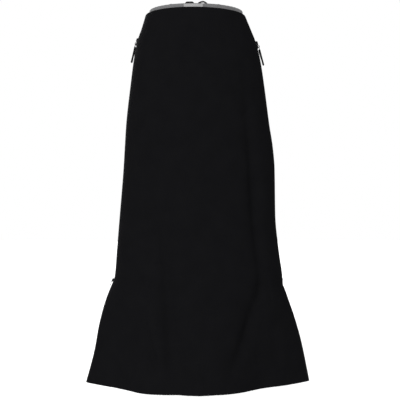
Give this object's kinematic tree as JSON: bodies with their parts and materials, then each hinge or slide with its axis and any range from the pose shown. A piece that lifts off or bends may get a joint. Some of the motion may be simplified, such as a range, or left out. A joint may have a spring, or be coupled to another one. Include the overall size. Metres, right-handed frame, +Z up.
{
  "type": "overskirt",
  "caption": "Long black overskirt in its worn form, close over the hips and flared from the knee, with zipped side pockets, zip-edged side vents and a grey elastic inner waistband.",
  "frame": {"origin": "middle of the waist at the shell's top edge, where the wearer holds the skirt", "axes": "+Z up, -Y towards the front of the skirt, +X to the right as seen from the front"},
  "size_m": [0.5963, 0.3069, 0.9948],
  "materials": {
    "shell_cloth": "matt, tightly woven, with a faint soft sheen",
    "waistband_elastic": "matt ribbed elastic",
    "waistband_patch": "smooth woven tape, blank",
    "ribbon": "satin ribbon",
    "zip_tape": "matt twill tape with a nylon coil",
    "slider_metal": "black lacquer",
    "tab_metal": "satin",
    "grip_plastic": "matt moulded plastic"
  },
  "bodies": {
    "skirt": {"front_panel": "shell_cloth", "back_panel": "shell_cloth", "waistband": "waistband_elastic", "waistband_patch": "waistband_patch", "ribbon_loop_left": "ribbon", "hip_zip_left": "zip_tape", "hip_stop_left": "ribbon", "hip_slider_left": "slider_metal", "vent_tape_front_left": "zip_tape", "vent_tape_back_left": "zip_tape", "vent_slider_left": "slider_metal", "ribbon_loop_right": "ribbon", "hip_zip_right": "zip_tape", "hip_stop_right": "ribbon", "hip_slider_right": "slider_metal", "vent_tape_front_right": "zip_tape", "vent_tape_back_right": "zip_tape", "vent_slider_right": "slider_metal"},
    "hip_pull_left": {"hip_tab_left": "tab_metal", "hip_grip_left": "grip_plastic"},
    "vent_pull_left": {"vent_tab_left": "tab_metal"},
    "hip_pull_right": {"hip_tab_right": "tab_metal", "hip_grip_right": "grip_plastic"},
    "vent_pull_right": {"vent_tab_right": "tab_metal"}
  },
  "joints": [
    {"name": "hip_pull_left_swing", "type": "hinge", "parent": "skirt", "child": "hip_pull_left", "pos_m": [-0.16, 0.00657, -0.07068], "axis": [0.0797, 0.9967, 0.0116], "range_deg": [0, 165]},
    {"name": "hip_pull_right_swing", "type": "hinge", "parent": "skirt", "child": "hip_pull_right", "pos_m": [0.16985, -0.00677, -0.08099], "axis": [-0.0736, -0.997, 0.0232], "range_deg": [0, 165]},
    {"name": "vent_pull_left_swing", "type": "hinge", "parent": "skirt", "child": "vent_pull_left", "pos_m": [-0.22263, 0.00951, -0.70434], "axis": [0.1231, 0.9913, -0.0463], "range_deg": [0, 160]},
    {"name": "vent_pull_right_swing", "type": "hinge", "parent": "skirt", "child": "vent_pull_right", "pos_m": [0.23566, 0.02423, -0.70542], "axis": [0.2964, -0.9497, -0.1011], "range_deg": [0, 160]}
  ]
}
